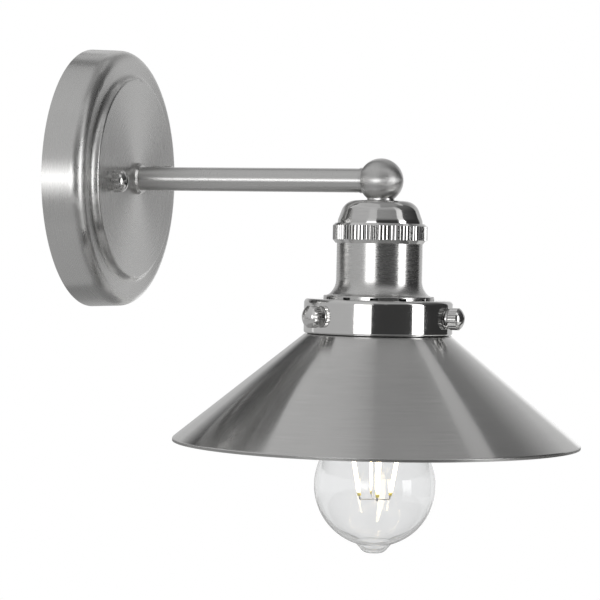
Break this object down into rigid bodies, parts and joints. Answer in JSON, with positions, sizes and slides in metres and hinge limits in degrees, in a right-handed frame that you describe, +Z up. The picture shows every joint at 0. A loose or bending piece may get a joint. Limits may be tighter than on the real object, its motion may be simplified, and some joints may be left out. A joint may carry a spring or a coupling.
{
  "type": "wall sconce",
  "caption": "Single-arm wall sconce: round stepped canopy, straight arm, ball, domed socket cup and knurled ring, open cone shade on a thumbscrew holder, clear filament lamp.",
  "frame": {"origin": "centre of the canopy's open back, on the wall plane, midway between the crossbar's two box-screw slots", "axes": "+Z up, +Y into the wall, so the arm reaches out along -Y and the lamp hangs along -Z from the end of the arm; +X to the right of someone facing the wall"},
  "size_m": [0.2138, 0.2694, 0.2654],
  "materials": {
    "brushed_nickel": "brushed and satin plated",
    "polished_nickel": "polished plated",
    "zinc_steel": "zinc plated",
    "brass": "pressed and bright",
    "plated_brass": "nickel plated",
    "solder": "dull solder",
    "wire_steel": "drawn wire",
    "bare_copper": "bare drawn copper",
    "green_screw": "green plated",
    "phenolic": "moulded phenolic",
    "black_glass": "fused insulator",
    "black_insulation": "extruded insulation",
    "white_insulation": "extruded insulation",
    "clear_glass": "clear blown glass",
    "filament_phosphor": "phosphor coating, lit"
  },
  "bodies": {
    "fixture": {"box_strap": "zinc_steel", "canopy_strap": "zinc_steel", "ground_screw": "green_screw", "canopy": "brushed_nickel", "arm_nipple": "zinc_steel", "ground_lug": "brass", "arm_lock_washer": "zinc_steel", "arm_nut": "zinc_steel", "arm_collar": "brushed_nickel", "arm_tube": "brushed_nickel", "ball_nipple": "zinc_steel", "ball": "brushed_nickel", "head_nipple": "zinc_steel", "head_lock_washer": "zinc_steel", "head_nut": "zinc_steel", "dome_cap": "brushed_nickel", "knurled_ring": "polished_nickel", "socket_shell": "brushed_nickel", "shade_holder": "polished_nickel", "retaining_ring": "phenolic", "socket_bushing": "brass", "socket_cap": "phenolic", "socket_body": "phenolic", "screw_shell": "brass", "centre_contact": "brass", "terminal_screws": "brass", "hot_lead": "black_insulation", "neutral_lead": "white_insulation", "ground_lead": "bare_copper"},
    "shade": {"shade": "brushed_nickel"},
    "shade_screw_front": {"shade_screw_front": "polished_nickel"},
    "shade_screw_left": {"shade_screw_left": "polished_nickel"},
    "shade_screw_right": {"shade_screw_right": "polished_nickel"},
    "canopy_screw_left": {"canopy_screw_left": "polished_nickel"},
    "canopy_screw_right": {"canopy_screw_right": "polished_nickel"},
    "bulb": {"bulb_glass": "clear_glass", "bulb_cap": "plated_brass", "bulb_insulator": "black_glass", "lamp_contact": "solder", "bulb_stem": "clear_glass", "filaments": "filament_phosphor", "filament_supports": "wire_steel"}
  },
  "joints": [
    {"name": "shade_slide", "type": "slide", "parent": "fixture", "child": "shade", "axis": [0, 0, -1], "range_m": [0, 0.135]},
    {"name": "shade_screw_front_turn", "type": "hinge", "parent": "fixture", "child": "shade_screw_front", "pos_m": [-0.00443, -0.20135, -0.07135], "axis": [-0.1132, -0.9936, 0], "range_deg": [0, 900]},
    {"name": "shade_screw_left_turn", "type": "hinge", "parent": "fixture", "child": "shade_screw_left", "pos_m": [-0.03143, -0.13924, -0.07135], "axis": [-0.8039, 0.5948, 0], "range_deg": [0, 900]},
    {"name": "shade_screw_right_turn", "type": "hinge", "parent": "fixture", "child": "shade_screw_right", "pos_m": [0.03586, -0.14691, -0.07135], "axis": [0.9171, 0.3987, 0], "range_deg": [0, 900]},
    {"name": "canopy_screw_left_turn", "type": "hinge", "parent": "fixture", "child": "canopy_screw_left", "pos_m": [-0.03489, -0.025, -0.00275], "axis": [0, -1, 0], "range_deg": [0, 1440]},
    {"name": "canopy_screw_right_turn", "type": "hinge", "parent": "fixture", "child": "canopy_screw_right", "pos_m": [0.03489, -0.025, 0.00275], "axis": [0, -1, 0], "range_deg": [0, 1440]},
    {"name": "bulb_turn", "type": "hinge", "parent": "fixture", "child": "bulb", "pos_m": [0, -0.1625, -0.0564], "axis": [0, 0, -1], "range_deg": [0, 1440]}
  ]
}
